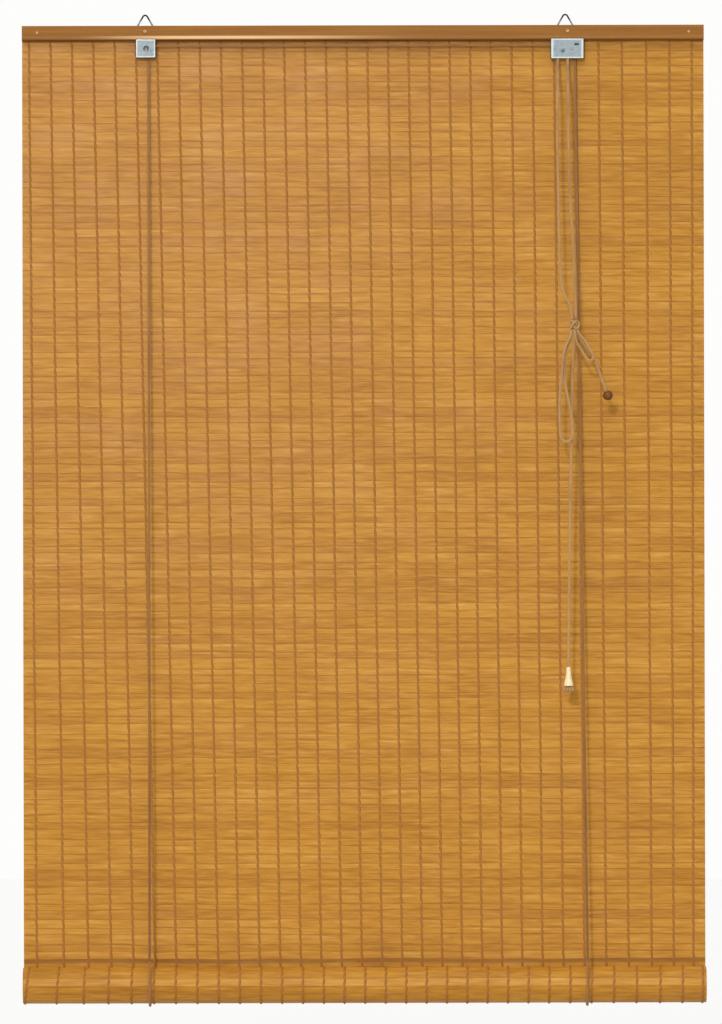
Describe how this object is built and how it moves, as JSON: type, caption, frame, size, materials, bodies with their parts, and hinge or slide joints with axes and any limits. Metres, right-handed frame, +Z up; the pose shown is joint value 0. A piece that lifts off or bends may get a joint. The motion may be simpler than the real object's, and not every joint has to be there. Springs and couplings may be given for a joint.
{
  "type": "bamboo roll up blind",
  "caption": "Bamboo roll up blind with slats woven on threads, its lower end rolled up in two cord slings, cord lock, wheels and wire hanging loops.",
  "frame": {"origin": "middle of the line between the two hanging points, at the centre of the nails in the wire loops", "axes": "+X to the right along the rail, +Y back to the wall, +Z up"},
  "size_m": [0.9, 0.0772, 1.3096],
  "materials": {
    "slat_bamboo": "satin",
    "rail_wood": "varnished",
    "batten_wood": "plain",
    "knob_wood": "varnished",
    "thread_cotton": "twisted",
    "cord_cotton": "braided",
    "housing_steel": "zinc plated",
    "loop_steel": "dull wire",
    "screw_steel": "bright",
    "nail_steel": "dull",
    "wheel_plastic": "moulded",
    "cam_plastic": "moulded",
    "bell_plastic": "moulded"
  },
  "bodies": {
    "frame": {"rear_rail": "rail_wood", "front_rail": "rail_wood", "rail_nails": "nail_steel", "mat": "slat_bamboo", "warp_threads": "thread_cotton", "left_hanger": "loop_steel", "right_hanger": "loop_steel", "left_housing": "housing_steel", "right_housing": "housing_steel", "left_loop_screw": "nail_steel", "right_loop_screw": "nail_steel", "left_screw": "screw_steel", "right_screw": "screw_steel", "left_axle": "screw_steel", "first_axle": "screw_steel", "second_axle": "screw_steel", "cam_pin": "screw_steel", "left_rear_leg": "cord_cotton", "right_rear_leg": "cord_cotton", "left_front_leg": "cord_cotton", "right_front_leg": "cord_cotton", "cross_cord": "cord_cotton", "turn_cord": "cord_cotton", "left_pull_cord": "cord_cotton", "right_pull_cord": "cord_cotton", "cord_knot": "cord_cotton", "left_bow": "cord_cotton", "right_bow": "cord_cotton", "knob_cord": "cord_cotton", "bell_cord": "cord_cotton", "bell": "bell_plastic", "bell_knot": "cord_cotton", "knob": "knob_wood"},
    "slings": {"left_sling": "cord_cotton", "right_sling": "cord_cotton"},
    "roll": {"mat_roll": "slat_bamboo", "roll_threads": "thread_cotton", "bottom_batten": "batten_wood"},
    "left_pulley": {"left_wheel": "wheel_plastic"},
    "first_pulley": {"first_wheel": "wheel_plastic"},
    "second_pulley": {"second_wheel": "wheel_plastic"},
    "lock": {"lock_cam": "cam_plastic"}
  },
  "joints": [
    {"name": "roll_lift", "type": "slide", "parent": "frame", "child": "slings", "axis": [0, 0, 1], "range_m": [0, 1.14], "deforming": ["mat", "warp_threads", "left_rear_leg", "right_rear_leg", "left_front_leg", "right_front_leg"]},
    {"name": "roll_turn", "type": "hinge", "parent": "slings", "child": "roll", "pos_m": [0.01, -0.03232, -1.27666], "axis": [1, 0, 0], "range_deg": [-2700, 0]},
    {"name": "left_wheel_spin", "type": "hinge", "parent": "frame", "child": "left_pulley", "pos_m": [-0.2683, -0.0129, -0.0422], "axis": [0, 1, 0], "range_deg": [0, 29100]},
    {"name": "first_wheel_spin", "type": "hinge", "parent": "frame", "child": "first_pulley", "pos_m": [0.2632, -0.0129, -0.0422], "axis": [0, 1, 0], "range_deg": [0, 29100]},
    {"name": "second_wheel_spin", "type": "hinge", "parent": "frame", "child": "second_pulley", "pos_m": [0.285, -0.0129, -0.0422], "axis": [0, 1, 0], "range_deg": [-29100, 0]},
    {"name": "lock_release", "type": "hinge", "parent": "frame", "child": "lock", "pos_m": [0.2741, -0.0129, -0.0452], "axis": [0, 1, 0], "range_deg": [0, 60]}
  ],
  "couplings": [
    {"joint": "roll_turn", "follows": "roll_lift", "rad_per_m": -40.29},
    {"joint": "left_wheel_spin", "follows": "roll_lift", "rad_per_m": 444.44},
    {"joint": "first_wheel_spin", "follows": "roll_lift", "rad_per_m": 444.44},
    {"joint": "second_wheel_spin", "follows": "roll_lift", "rad_per_m": -444.44}
  ]
}
